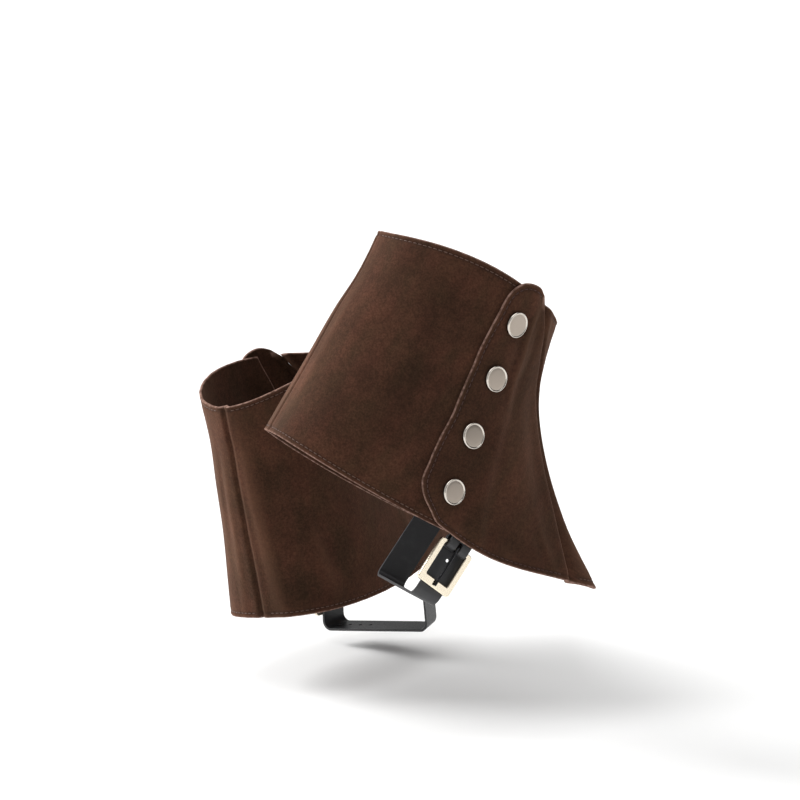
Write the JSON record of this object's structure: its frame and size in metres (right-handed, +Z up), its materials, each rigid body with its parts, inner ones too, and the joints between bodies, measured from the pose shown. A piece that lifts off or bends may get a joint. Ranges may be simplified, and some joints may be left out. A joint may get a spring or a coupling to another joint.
{
  "type": "pair of boot covers",
  "caption": "Pair of brown suede boot covers (spats) in a walking pose, snapped shut up the outer side, each with a buckled strap under the foot.",
  "frame": {"origin": "middle of the wearer's right ankle inside the right cover, where the leg holds the pair up", "axes": "+Z up, +Y the way the wearer walks, +X the wearer's right side"},
  "size_m": [0.2685, 0.2463, 0.28],
  "materials": {
    "suede": "dark brown suede with a short mottled nap, raw cut edges and one row of topstitching",
    "nickel": "satin nickel plate with brighter rolled rims",
    "strap": "black smooth leather strap with punched holes"
  },
  "bodies": {
    "root": {"right_outer_back": "suede", "right_front": "suede", "right_inner": "suede", "right_snap_1": "nickel", "right_snap_2": "nickel", "right_snap_3": "nickel", "right_snap_4": "nickel", "right_tab": "strap", "right_buckle": "nickel", "right_tongue": "nickel", "right_strap": "strap", "left_outer_back": "suede", "left_front": "suede", "left_inner": "suede", "left_snap_1": "nickel", "left_snap_2": "nickel", "left_snap_3": "nickel", "left_snap_4": "nickel", "left_tab": "strap", "left_buckle": "nickel", "left_tongue": "nickel", "left_strap": "strap"}
  },
  "joints": []
}
